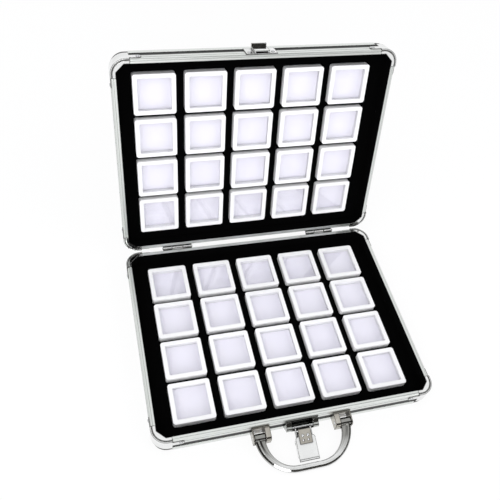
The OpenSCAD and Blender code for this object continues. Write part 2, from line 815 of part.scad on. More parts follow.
// Hook plate, drawn shut: it lies on the lever and turns in behind the lip of the catch
module hook_shut() {
    y = link_out - lever_out - lever_t;
    z = hook_z - link_top_z;
    difference() {
        union() {
            translate([-hook_w / 2, y - hook_t, -1.5]) cube([hook_w, hook_t, z + 1.5 + 0.2]);
            translate([-hook_w / 2, y, z]) cube([hook_w, 0.6 - y, 1.2]);
            translate([0, y, z]) rotate([0, 90, 0]) translate([0, 0, -hook_w / 2])
                intersection() {
                    cylinder(r = 1.2, h = hook_w);
                    translate([-1.2, -hook_t, 0]) cube([1.2, hook_t + 0.2, hook_w]);
                }
        }
        hook_holes(y);
    }
}

module hook_rivets_shut() {
    y = link_out - lever_out - lever_t - hook_t;
    for (side = [-1, 1]) translate([side * hook_rivet_x, y, hook_rivet_z]) {
        rod_y(hook_rivet_r, -0.2, lever_t + hook_t);
        rivet_head(2 * hook_rivet_r, hook_rivet_r);
    }
}

// Catch plate on the front of the lid, with a bridge and a lip for the hook
module catch_of_lid() {
    top = half_h - 0.3;
    bridge_top = half_h - 0.6;
    difference() {
        union() {
            translate([-catch_w / 2, front_y - catch_t, half_h - catch_h])
                cube([catch_w, catch_t, top - half_h + catch_h]);
            translate([-bridge_w / 2, front_y - bridge_out, half_h - lip_far + 1])
                cube([bridge_w, bridge_out - 0.1, bridge_top - half_h + lip_far - 1]);
            translate([-bridge_w / 2, front_y - lip_out, half_h - lip_far])
                cube([bridge_w, lip_out - 0.1, 1.6]);
        }
        translate([-bridge_w / 2 + 1.4, front_y - bridge_out + 0.9, half_h - lip_far + 4])
            cube([bridge_w - 2.8, bridge_out - catch_t - 0.9, lip_far]);
        catch_rivet_holes();
    }
}

module base_shell() color(black_board) difference() {
    half_shell();
    screw_holes();
}

module lid_shell() color(black_board) as_lid() difference() {
    half_shell();
    catch_rivet_holes();
}

module base_rail_front() color(aluminium) half_rail_front();
module base_rail_back() color(aluminium) half_rail_back();
module base_rail_left() color(aluminium) half_rail_left();
module base_rail_right() color(aluminium) half_rail_right();
module lid_rail_front() color(aluminium) as_lid() difference() {
    half_rail_front();
    catch_rivet_holes();
}
module lid_rail_back() color(aluminium) as_lid() half_rail_back();
module lid_rail_left() color(aluminium) as_lid() half_rail_left();
module lid_rail_right() color(aluminium) as_lid() half_rail_right();
module base_bottom_trims() color(aluminium) half_bottom_trims();
module lid_bottom_trims() color(aluminium) as_lid() half_bottom_trims();

module base_cap(side, end) color(chrome) at_corner(side, end) half_cap();
module lid_cap(side, end) color(chrome) as_lid() at_corner(side, end) half_cap();
module base_cap_rivets() color(chrome) half_cap_rivets();
module lid_cap_rivets() color(chrome) as_lid() half_cap_rivets();

module base_lining() color(black_cloth) half_lining();
module lid_lining() color(black_cloth) as_lid() half_lining();
module base_foam() color(black_cloth) half_foam(0);
module lid_foam() color(black_cloth) as_lid() half_foam(lid_grid_x);

module base_jar_trays() color(white_plastic) at_jars(0, true) jar_tray();
module base_jar_pads() color(white_foam) at_jars(0, true) jar_pad();
module base_jar_covers() color(white_plastic) at_jars(0, true) jar_cover();
module base_jar_windows() color(clear_window) at_jars(0, true) jar_window();
module loose_jar_tray() color(white_plastic) at_jar(loose_col, loose_row, 0) jar_tray();
module loose_jar_pad() color(white_foam) at_jar(loose_col, loose_row, 0) jar_pad();
module loose_jar_cover() color(white_plastic) at_jar(loose_col, loose_row, 0) jar_cover();
module loose_jar_window() color(clear_window) at_jar(loose_col, loose_row, 0) jar_window();
module lid_jar_trays() color(white_plastic) as_lid() at_jars(lid_grid_x, false) jar_tray();
module lid_jar_pads() color(white_foam) as_lid() at_jars(lid_grid_x, false) jar_pad();
module lid_jar_covers() color(white_plastic) as_lid() at_jars(lid_grid_x, false) jar_cover();
module lid_jar_windows() color(clear_window) as_lid() at_jars(lid_grid_x, false) jar_window();

module hinge_base_leaf(side) color(chrome) translate([side * hinge_x, 0, 0]) base_leaf();
module hinge_lid_leaf(side) color(chrome) translate([side * hinge_x, 0, 0]) lid_leaf();
module hinge_pin_at(side) color(chrome) translate([side * hinge_x, 0, 0]) hinge_pin();
module hinge_base_rivets() color(chrome) half_hinge_rivets();
module hinge_lid_rivets() color(chrome) as_lid() half_hinge_rivets();

module handle() color(chrome) translate([0, pivot_y, pivot_z]) rotate([handle_sag, 0, 0])
    handle_flat();
module handle_bracket(side) color(chrome) translate([side * bracket_x, front_y, pivot_z])
    mirror([side < 0 ? 1 : 0, 0, 0]) bracket();
module handle_pins() color(chrome) {
    handle_pin(-1);
    handle_pin(1);
}
module front_screws() color(chrome) hardware_screws();

module latch_base() color(chrome) base_of_latch();
module latch_base_pin() color(chrome) translate([0, front_y - latch_out, latch_z])
    rod_x(base_pin_r, -base_half_w, base_half_w);
module latch_link() color(chrome) open_link() link_shut();
module latch_link_pin() color(chrome) open_lever() rod_x(link_pin_r, -lever_w / 2, lever_w / 2);
module latch_lever() color(chrome) open_lever() lever_shut();
module latch_hook() color(chrome) open_lever() hook_shut();
module latch_hook_rivets() color(chrome) open_lever() hook_rivets_shut();
module catch_plate() color(chrome) as_lid() catch_of_lid();
module catch_rivets() color(chrome) as_lid() for (side = [-1, 1])
    translate([side * catch_rivet_x, front_y - catch_t, catch_rivet_z])
        rivet(rivet_grip - edge_gap + catch_t);

base_shell();
base_rail_front();
base_rail_back();
base_rail_left();
base_rail_right();
base_bottom_trims();
base_cap(-1, -1);  // base_cap_front_left
base_cap(1, -1);  // base_cap_front_right
base_cap(-1, 1);  // base_cap_back_left
base_cap(1, 1);  // base_cap_back_right
base_cap_rivets();
base_lining();
base_foam();
base_jar_trays();
base_jar_pads();
base_jar_covers();
base_jar_windows();
loose_jar_tray();
loose_jar_pad();
loose_jar_cover();
loose_jar_window();
lid_shell();
lid_rail_front();
lid_rail_back();
lid_rail_left();
lid_rail_right();
lid_bottom_trims();
lid_cap(-1, -1);  // lid_cap_front_left
lid_cap(1, -1);  // lid_cap_front_right
lid_cap(-1, 1);  // lid_cap_back_left
lid_cap(1, 1);  // lid_cap_back_right
lid_cap_rivets();
lid_lining();
lid_foam();
lid_jar_trays();
lid_jar_pads();
lid_jar_covers();
lid_jar_windows();
hinge_base_leaf(-1);  // hinge_left_base_leaf
hinge_lid_leaf(-1);  // hinge_left_lid_leaf
hinge_pin_at(-1);  // hinge_left_pin
hinge_base_leaf(1);  // hinge_right_base_leaf
hinge_lid_leaf(1);  // hinge_right_lid_leaf
hinge_pin_at(1);  // hinge_right_pin
hinge_base_rivets();
hinge_lid_rivets();
handle();
handle_bracket(-1);  // handle_bracket_left
handle_bracket(1);  // handle_bracket_right
handle_pins();
front_screws();
latch_base();
latch_base_pin();
latch_link();
latch_link_pin();
latch_lever();
latch_hook();
latch_hook_rivets();
catch_plate();
catch_rivets();
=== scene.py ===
"""Looks of a mineral specimen box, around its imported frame.

A flat aluminium-framed carrying case lies open on a white table. Both halves hold a black foam
tray with twenty square white gem jars, whose pads show through clear windows. Metres throughout.
"""

import json
import math
from types import SimpleNamespace

import bmesh
import bpy
from mathutils import Matrix, Vector


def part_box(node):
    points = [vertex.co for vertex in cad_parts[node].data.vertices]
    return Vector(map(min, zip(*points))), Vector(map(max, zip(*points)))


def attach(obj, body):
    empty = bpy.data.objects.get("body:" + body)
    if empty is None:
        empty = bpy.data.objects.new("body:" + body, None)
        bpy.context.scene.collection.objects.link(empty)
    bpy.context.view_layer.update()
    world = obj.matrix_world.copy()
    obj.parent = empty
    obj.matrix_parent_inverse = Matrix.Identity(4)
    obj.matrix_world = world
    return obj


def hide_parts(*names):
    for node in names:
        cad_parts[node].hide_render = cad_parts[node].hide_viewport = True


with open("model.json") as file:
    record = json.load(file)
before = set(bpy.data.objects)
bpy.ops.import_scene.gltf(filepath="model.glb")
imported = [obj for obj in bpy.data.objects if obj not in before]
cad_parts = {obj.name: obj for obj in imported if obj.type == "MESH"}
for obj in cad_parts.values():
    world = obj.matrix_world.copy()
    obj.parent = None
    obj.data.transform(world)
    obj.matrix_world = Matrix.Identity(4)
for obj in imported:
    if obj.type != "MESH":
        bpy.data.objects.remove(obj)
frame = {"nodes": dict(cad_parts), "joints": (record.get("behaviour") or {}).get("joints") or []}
nodes = frame["nodes"]
joints = {joint["name"]: joint for joint in frame["joints"]}
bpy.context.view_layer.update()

# Table and soft daylight: a white table runs back into a white surround, which metal and clear
# plastic show too. At the front and the sides it is open to a dim room, which polished metal
# shows as dark edges and bands. Three broad lamps stand round the front.
scene = bpy.context.scene
scene.view_settings.view_transform = "Standard"

TABLE_SIZE = 6.0
TABLE_GAP = 0.0003
TABLE_WHITE = (0.93, 0.93, 0.935, 1)
BACKDROP_SHARE = 0.9
SURROUND_LIGHT = 0.87
WHITE = (1, 1, 1, 1)
DAYLIGHT = (0.98, 0.985, 1, 1)
ROOM_DIM = (0.045, 0.042, 0.038, 1)
# The dim part begins over the table's edge, ends half way overhead and fades out towards the
# back. Each row runs over a direction's Z or Y, from start to end.
ROOM_FADES = (
    dict(axis="Z", start=0.02, end=0.12, dim_before=0, dim_after=1),
    dict(axis="Z", start=0.66, end=0.84, dim_before=1, dim_after=0),
    dict(axis="Y", start=0.15, end=0.45, dim_before=1, dim_after=0),
)
LAMPS = {
    "lamp_left": dict(at=(-0.9, -0.5, 1.5), size=1.1, watts=6.0),
    "lamp_right": dict(at=(1.1, -0.7, 1.2), size=0.8, watts=3.0),
    "lamp_front": dict(at=(-0.35, -1.5, 0.7), size=0.7, watts=9.0),
}
LAMP_TARGET = Vector((0, 0.06, 0.03))


def new_material(name):
    """A material without any nodes yet, and its node tree."""
    material = bpy.data.materials.new(name)
    material.use_nodes = True
    tree = material.node_tree
    tree.nodes.clear()
    return material, tree


def add(tree, kind, **values):
    """A new shader node, with its settings by attribute name and its sockets by their own name."""
    node = tree.nodes.new("ShaderNode" + kind)
    for name, value in values.items():
        if hasattr(node, name):
            setattr(node, name, value)
        else:
            node.inputs[name.replace("_", " ")].default_value = value
    return node


def times(tree, first, second):
    """Product of a value with another one or with a plain number."""
    product = add(tree, "Math", operation="MULTIPLY")
    tree.links.new(first, product.inputs[0])
    if isinstance(second, (int, float)):
        product.inputs[1].default_value = second
    else:
        tree.links.new(second, product.inputs[1])
    return product.outputs[0]


def ramped(tree, value, start, end, low=0.0, high=1.0, kind="LINEAR"):
    """Runs from low to high while the value goes from start to end."""
    ramp = add(tree, "MapRange", interpolation_type=kind)
    for socket, level in (("From Min", start), ("From Max", end), ("To Min", low),
                          ("To Max", high)):
        ramp.inputs[socket].default_value = level
    tree.links.new(value, ramp.inputs["Value"])
    return ramp.outputs[0]


def mixed(tree, value, low, high):
    """Goes from one colour to another while the value goes from nought to one. Each colour is
    a plain one or comes from another node."""
    blend = add(tree, "Mix", data_type="RGBA")
    ends = [socket for socket in blend.inputs if socket.type == "RGBA"]
    for socket, colour in zip(ends, (low, high)):
        if isinstance(colour, tuple):
            socket.default_value = colour
        else:
            tree.links.new(colour, socket)
    tree.links.new(value, blend.inputs["Factor"])
    return next(socket for socket in blend.outputs if socket.type == "RGBA")


def seen_by_eye_or_gloss(tree):
    """One for a ray from the eye, or one that metal or glass sends on, and else nought."""
    path = add(tree, "LightPath")
    ray = path.outputs["Is Camera Ray"]
    for other in ("Is Glossy Ray", "Is Transmission Ray"):
        either = add(tree, "Math", operation="MAXIMUM")
        tree.links.new(ray, either.inputs[0])
        tree.links.new(path.outputs[other], either.inputs[1])
        ray = either.outputs[0]
    return ray


table_mesh = bmesh.new()
bmesh.ops.create_grid(table_mesh, x_segments=1, y_segments=1, size=TABLE_SIZE / 2)
bmesh.ops.translate(table_mesh, verts=table_mesh.verts, vec=(0, 0, -TABLE_GAP))
table_data = bpy.data.meshes.new("table")
table_mesh.to_mesh(table_data)
table_mesh.free()
table = bpy.data.objects.new("table", table_data)
scene.collection.objects.link(table)

table_white, tree = new_material("table_white")
paper = add(tree, "BsdfDiffuse", Color=TABLE_WHITE)
glow = add(tree, "Emission", Color=WHITE, Strength=1.0)
mix = add(tree, "MixShader")
out = add(tree, "OutputMaterial")
tree.links.new(times(tree, seen_by_eye_or_gloss(tree), BACKDROP_SHARE), mix.inputs["Fac"])
tree.links.new(paper.outputs[0], mix.inputs[1])
tree.links.new(glow.outputs[0], mix.inputs[2])
tree.links.new(mix.outputs[0], out.inputs["Surface"])
table_data.materials.append(table_white)

surround = bpy.data.worlds.new("surround")
surround.use_nodes = True
tree = surround.node_tree
tree.nodes.clear()
direction = add(tree, "SeparateXYZ")
tree.links.new(add(tree, "TexCoord").outputs["Generated"], direction.inputs[0])
dim = add(tree, "LightPath").outputs["Is Glossy Ray"]
for fade in ROOM_FADES:
    dim = times(tree, dim, ramped(tree, direction.outputs[fade["axis"]], fade["start"],
                                  fade["end"], fade["dim_before"], fade["dim_after"],
                                  "SMOOTHSTEP"))
seen = add(tree, "Background", Strength=1.0)
tree.links.new(mixed(tree, dim, WHITE, ROOM_DIM), seen.inputs["Color"])
lit = add(tree, "Background", Color=DAYLIGHT, Strength=SURROUND_LIGHT)
mix = add(tree, "MixShader")
out = add(tree, "OutputWorld")
tree.links.new(seen_by_eye_or_gloss(tree), mix.inputs["Fac"])
tree.links.new(lit.outputs[0], mix.inputs[1])
tree.links.new(seen.outputs[0], mix.inputs[2])
tree.links.new(mix.outputs[0], out.inputs["Surface"])
scene.world = surround

for name, lamp in LAMPS.items():
    data = bpy.data.lights.new(name, "AREA")
    data.size = lamp["size"]
    data.energy = lamp["watts"]
    light = bpy.data.objects.new(name, data)
    light.location = lamp["at"]
    light.rotation_euler = (LAMP_TARGET - light.location).to_track_quat("-Z", "Y").to_euler()
    scene.collection.objects.link(light)

# Camera at the photograph's viewing angle: from the front left and above, held a little
# crooked, which tips the whole case to the right in the picture.
SIDE_ANGLE = math.radians(-22.96)
HEIGHT_ANGLE = math.radians(51.27)
ROLL = math.radians(11.79)
EYE_DISTANCE = 0.70096
AIM = Vector((0.00707, 0.10987, 0.01143))
FOCAL_PIXELS = 613.94
PICTURE_PIXELS = 500
CENTRE_PIXEL = (254.13, 241.32)
SENSOR = 36.0

back = Vector((
    math.sin(SIDE_ANGLE) * math.cos(HEIGHT_ANGLE),
    -math.cos(SIDE_ANGLE) * math.cos(HEIGHT_ANGLE),
    math.sin(HEIGHT_ANGLE),
))
level = Vector((0, 0, 1)).cross(back).normalized()
upright = back.cross(level)
right = math.cos(ROLL) * level + math.sin(ROLL) * upright
upward = -math.sin(ROLL) * level + math.cos(ROLL) * upright
eye = AIM + back * EYE_DISTANCE
camera_data = bpy.data.cameras.new("camera")
camera_data.sensor_width = SENSOR
camera_data.lens = FOCAL_PIXELS / PICTURE_PIXELS * SENSOR
camera_data.shift_x = (PICTURE_PIXELS / 2 - CENTRE_PIXEL[0]) / PICTURE_PIXELS
camera_data.shift_y = (CENTRE_PIXEL[1] - PICTURE_PIXELS / 2) / PICTURE_PIXELS
camera = bpy.data.objects.new("camera", camera_data)
camera.matrix_world = Matrix((
    (right.x, upward.x, back.x, eye.x),
    (right.y, upward.y, back.y, eye.y),
    (right.z, upward.z, back.z, eye.z),
    (0, 0, 0, 1),
))
scene.collection.objects.link(camera)
scene.camera = camera

# Board body of each half: fibreboard laminated with a black pebbled sheet, satin, with faint
# scuffs here and there.
BOARD_BLACK = (0.004, 0.004, 0.0044, 1)
BOARD_SCUFF = (0.016, 0.016, 0.017, 1)
EDGE_ROUNDING = 0.0004


def finish(name, **sockets):
    """A material with a Principled shader whose uniform values sit on its own sockets, and
    with every edge rounded off to the eye. Returns what a section needs to go on from it."""
    material, tree = new_material(name)
    surface = add(tree, "BsdfPrincipled")
    for socket, value in sockets.items():
        surface.inputs[socket.replace("_", " ")].default_value = value
    out = add(tree, "OutputMaterial")
    tree.links.new(surface.outputs[0], out.inputs["Surface"])
    place = add(tree, "TexCoord").outputs["Object"]
    edge = add(tree, "Bevel", samples=4, Radius=EDGE_ROUNDING)
    tree.links.new(edge.outputs[0], surface.inputs["Normal"])
    return SimpleNamespace(material=material, tree=tree, surface=surface, place=place, edge=edge,
                           out=out)


def grain(look, scale, detail=2.0, stretch=(1, 1, 1), turn=(0, 0, 0), kind="TexNoise"):
    """A noise over the piece, stretched along the axes and turned with it."""
    mapping = add(look.tree, "Mapping")
    mapping.inputs["Scale"].default_value = stretch
    turned = add(look.tree, "Mapping")
    turned.inputs["Rotation"].default_value = turn
    look.tree.links.new(look.place, turned.inputs["Vector"])
    look.tree.links.new(turned.outputs[0], mapping.inputs["Vector"])
    texture = add(look.tree, kind, Scale=scale)
    if "Detail" in texture.inputs:
        texture.inputs["Detail"].default_value = detail
    look.tree.links.new(mapping.outputs[0], texture.inputs["Vector"])
    return texture.outputs[0]


def spread(look, value, low, high, socket):
    """Lets a value from nought to one run the named socket from low to high."""
    if isinstance(low, tuple):
        run = mixed(look.tree, value, low, high)
    else:
        run = ramped(look.tree, value, 0, 1, low, high)
    look.tree.links.new(run, look.surface.inputs[socket])


def emboss(look, height, depth, strength):
    """Raises the surface by height, from nought to one, times depth in metres."""
    bump = add(look.tree, "Bump", Strength=strength, Distance=depth)
    look.tree.links.new(height, bump.inputs["Height"])
    look.tree.links.new(look.edge.outputs[0], bump.inputs["Normal"])
    look.tree.links.new(bump.outputs[0], look.surface.inputs["Normal"])


def dress(material, *names):
    """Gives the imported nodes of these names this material."""
    for name in names:
        for slot in nodes[name].material_slots:
            slot.material = material


board = finish("black_board", Roughness=0.42, Specular_IOR_Level=0.35)
spread(board, ramped(board.tree, grain(board, 60, detail=4), 0.55, 0.8), BOARD_BLACK, BOARD_SCUFF,
       "Base Color")
emboss(board, grain(board, 900, kind="TexVoronoi"), 0.00012, strength=0.5)
dress(board.material, "base_shell", "lid_shell")

# Rails and trims: thin aluminium extrusions, bright anodised and pressed over the board's edges,
# with fine lines drawn along their length. The lid's side rails lean with the lid, so their lines
# are turned with it.
ALUMINIUM = (0.68, 0.71, 0.685, 1)
ALUMINIUM_PALE = (0.8, 0.82, 0.805, 1)
# Painted shade for the rails' grooves and corners, and a share of it painted as a dark rim on
# their rounded edges
RAIL_PAINTED_SHADE = (0.16, 0.17, 0.16, 1)
GROOVE_REACH = 0.0012
GROOVE_OPEN = (0.45, 0.9)
RAIL_EDGE_SHADE_SHARE = 0.35
LINES_PER_METRE = 1400
LINE_STRETCH = 0.01
# How far the rounding of an edge shows, and how far it turns a face there, as a cosine: these
# place the painted dark rim on rounded edges
EDGE_REACH = 0.0012
EDGE_TURNED = 0.9
EDGE_FLAT = 0.998
lid_open = math.radians(joints["lid_hinge"]["range_deg"][1])


def painted_crease_shade(look, colour, painted_shade, reach, openness, edge_shade_share):
    """Base colour that falls off to painted shade in the corners where faces meet within the
    reach, and to a share of that painted shade as a dark rim on the rounded edges. Openness gives
    where it is all painted shade and where none."""
    air = add(look.tree, "AmbientOcclusion", samples=8, Distance=reach)
    rounded = add(look.tree, "Bevel", samples=8, Radius=EDGE_REACH)
    facing = add(look.tree, "VectorMath", operation="DOT_PRODUCT")
    look.tree.links.new(rounded.outputs[0], facing.inputs[0])
    look.tree.links.new(add(look.tree, "NewGeometry").outputs["True Normal"], facing.inputs[1])
    # painted shade: darker where faces meet within the reach, and a dark rim painted where the
    # rounded edge turns the face
    unshaded = times(look.tree, ramped(look.tree, air.outputs["AO"], *openness),
                  ramped(look.tree, facing.outputs["Value"], EDGE_TURNED, EDGE_FLAT,
                         low=1 - edge_shade_share))
    look.tree.links.new(mixed(look.tree, unshaded, painted_shade, colour),
                        look.surface.inputs["Base Color"])


def drawn_aluminium(name, along, lean=0.0):
    """Anodised extrusion with its lines along X (0) or Y (1), leaned about X."""
    stretch = [1, 1, 1]
    stretch[along] = LINE_STRETCH
    look = finish(name, Metallic=1.0)
    lines = grain(look, LINES_PER_METRE, stretch=stretch, turn=(lean, 0, 0))
    anodised = mixed(look.tree, grain(look, 9, detail=3), ALUMINIUM, ALUMINIUM_PALE)
    # painted shade in the extrusion's corners and a painted dark rim on its edges
    painted_crease_shade(look, anodised, RAIL_PAINTED_SHADE, GROOVE_REACH, GROOVE_OPEN, RAIL_EDGE_SHADE_SHARE)
    spread(look, lines, 0.24, 0.42, "Roughness")
    emboss(look, lines, 0.00002, strength=0.35)
    return look.material


dress(drawn_aluminium("aluminium_lengthwise", 0), "base_rail_front", "base_rail_back",
      "lid_rail_front", "lid_rail_back")
dress(drawn_aluminium("aluminium_sideways", 1), "base_rail_left", "base_rail_right")
dress(drawn_aluminium("aluminium_leaning", 1, lid_open), "lid_rail_left", "lid_rail_right")
trim_aluminium = finish("aluminium_trim", Metallic=1.0)
spread(trim_aluminium, grain(trim_aluminium, 9, detail=3), ALUMINIUM, ALUMINIUM_PALE,
       "Base Color")
spread(trim_aluminium, grain(trim_aluminium, 900, detail=3), 0.22, 0.36, "Roughness")
dress(trim_aluminium.material, "base_bottom_trims", "lid_bottom_trims")

# Corner caps, hinges, catch, latch and handle: pressed or cast steel, polished and chromed.
# Brackets and hook are plain nickel, duller and a little brown, and the latch base is a greyer
# one. All have a faint unevenness that bends reflections, painted shade in creases and a painted
# dark rim on edges. The handle's arms carry a painted dark reflection, darker towards their eyes.
CHROME = (0.88, 0.89, 0.89, 1)
CHROME_HAZED = (0.72, 0.725, 0.72, 1)
NICKEL = (0.56, 0.54, 0.49, 1)
NICKEL_DULL = (0.24, 0.22, 0.19, 1)
NICKEL_GREY = (0.62, 0.64, 0.62, 1)
NICKEL_GREY_DULL = (0.36, 0.37, 0.355, 1)
# Darker tone of the handle: its clouds of haze, and the painted dark reflection that runs along
# its arms from behind the grip to their eyes
ARM_HAZE_AND_DARK_REFLECTION = (0.3, 0.3, 0.285, 1)
GRIP_DEPTH = 0.0074
ARM_DEPTH = 0.0274
ARM_CLOUDS = 0.35
CHROME_ROUNDING = 0.0008
PRESSED_UNEVEN = 0.00006
CAST_UNEVEN = 0.0001
CREASE_REACH = 0.005
# Painted shade in the creases of the plated parts, and most of it again as a painted dark rim on
# their rounded edges
CREASE_PAINTED_SHADE = (0.045, 0.042, 0.037, 1)
CREASE_OPEN = (0.3, 0.92)
CHROME_EDGE_SHADE_SHARE = 0.9
handle_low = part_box("handle")[0]


def plated(name, bright=CHROME, darker_tone=CHROME_HAZED, unevenness=PRESSED_UNEVEN, haze_and_darkening=None):
    """Plated steel, bright with clouds of haze, or with a mix of haze and painted darkening that a
    function lays over it.
    """
    look = finish(name, Metallic=1.0)
    look.edge.inputs["Radius"].default_value = CHROME_ROUNDING
    clouds = ramped(look.tree, grain(look, 40, detail=5), 0.3, 0.7)
    unshaded = mixed(look.tree, haze_and_darkening(look, clouds) if haze_and_darkening else clouds, bright, darker_tone)
    # painted shade in creases and a painted dark rim on edges
    painted_crease_shade(look, unshaded, CREASE_PAINTED_SHADE, CREASE_REACH, CREASE_OPEN, CHROME_EDGE_SHADE_SHARE)
    handled = ramped(look.tree, grain(look, 120, detail=6), 0.35, 0.75)
    spread(look, handled, 0.05, 0.18, "Roughness")
    emboss(look, grain(look, 130, detail=1), unevenness, strength=0.5)
    return look.material


def towards_the_eyes(look, clouds):
    """Clouds of haze, and a painted dark reflection that starts behind the handle's grip and grows
    along its arms towards their eyes.
    """
    place = add(look.tree, "SeparateXYZ")
    look.tree.links.new(look.place, place.inputs[0])
    haze_and_darkening = add(look.tree, "Math", operation="ADD")
    look.tree.links.new(times(look.tree, clouds, ARM_CLOUDS), haze_and_darkening.inputs[0])
    # painted dark reflection: darker along the arms the further they run from the grip
    look.tree.links.new(ramped(look.tree, place.outputs["Y"], handle_low.y + GRIP_DEPTH,
                               handle_low.y + ARM_DEPTH), haze_and_darkening.inputs[1])
    return haze_and_darkening.outputs[0]


CAPS = [f"{half}_cap_{end}_{side}" for half in ("base", "lid") for end in ("front", "back")
        for side in ("left", "right")]
LEAVES = [f"hinge_{side}_{half}_leaf" for side in ("left", "right") for half in ("base", "lid")]
dress(plated("chrome_pressed"), *CAPS, *LEAVES, "latch_link", "latch_lever", "catch_plate")
# the handle's arms get a painted dark reflection, darker towards their eyes
dress(plated("chrome_cast", CHROME, ARM_HAZE_AND_DARK_REFLECTION, CAST_UNEVEN, towards_the_eyes), "handle")
dress(plated("nickel_cast", NICKEL, NICKEL_DULL), "handle_bracket_left", "handle_bracket_right")
dress(plated("nickel_grey", NICKEL_GREY, NICKEL_GREY_DULL), "latch_base")
dress(plated("nickel_pressed", NICKEL_DULL, NICKEL), "latch_hook")

# Pins, rivets and screws: bright drawn wire and headed blanks, with a fine uneven grain.
WIRE = (0.6, 0.61, 0.62, 1)
wire = finish("bright_wire", Metallic=1.0, Base_Color=WIRE)
spread(wire, grain(wire, 1500, detail=2), 0.16, 0.34, "Roughness")
dress(wire.material, "hinge_left_pin", "hinge_right_pin", "handle_pins", "front_screws",
      "latch_base_pin", "latch_link_pin", "latch_hook_rivets", "catch_rivets",
      "base_cap_rivets", "lid_cap_rivets", "hinge_base_rivets", "hinge_lid_rivets")

# Lining: thin black sheet glued round the walls, flocked on the side that shows.
FLOCK_BLACK = (0.0006, 0.0006, 0.0007, 1)
FLOCK_GREY = (0.0014, 0.0014, 0.0016, 1)
flock = finish("black_flock", Roughness=0.95, Specular_IOR_Level=0.012, Sheen_Weight=0.004,
               Sheen_Roughness=0.6)
spread(flock, grain(flock, 2500, detail=3), FLOCK_BLACK, FLOCK_GREY, "Base Color")
emboss(flock, grain(flock, 3500, detail=2), 0.0001, strength=0.6)
dress(flock.material, "base_lining", "lid_lining")

# Foam trays: a slab of black foam in each half, die-cut with a square pocket for every jar. The
# cut edges are soft, and the top between the pockets is a little wavy.
FOAM_BLACK = (0.0009, 0.0009, 0.001, 1)
FOAM_PORE = (0.0003, 0.0003, 0.0003, 1)
FOAM_EDGE_R = 0.0007
FOAM_CORNER_R = 0.0085
POCKET_GAP = 0.0003
FLOOR_GAP = 0.0001
POCKET_CORNER_R = 0.0026
FOAM_WAVE = 0.00025
NEAR = 0.00001
SHARP_ANGLE = 1.2
LONG_EDGE = 0.012

tray_low, tray_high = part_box("base_jar_trays")
jar_low, jar_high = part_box("loose_jar_tray")
foam_low, foam_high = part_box("base_foam")
jar_w = jar_high.x - jar_low.x
columns = 5
rows = 4
pitch_x = (tray_high.x - tray_low.x - jar_w) / (columns - 1)
pitch_y = (tray_high.y - tray_low.y - jar_w) / (rows - 1)
lid_tray_low, lid_tray_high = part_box("lid_jar_trays")
lid_shift = (lid_tray_low.x + lid_tray_high.x) / 2
hinge_at = Vector(joints["lid_hinge"]["pos_m"])
to_lid = (Matrix.Translation(hinge_at) @ Matrix.Rotation(-lid_open, 4, "X")
          @ Matrix.Scale(-1, 4, (0, 0, 1)) @ Matrix.Translation(-hinge_at))
pocket_floor = jar_low.z - FLOOR_GAP


def make_piece(name, mesh, material, body):
    """Turns a finished bmesh into a piece of the object, which rides on a body."""
    data = bpy.data.meshes.new(name)
    mesh.to_mesh(data)
    mesh.free()
    data.materials.append(material)
    data.polygons.foreach_set("use_smooth", [True] * len(data.polygons))
    piece = bpy.data.objects.new(name, data)
    scene.collection.objects.link(piece)
    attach(piece, body)
    return piece


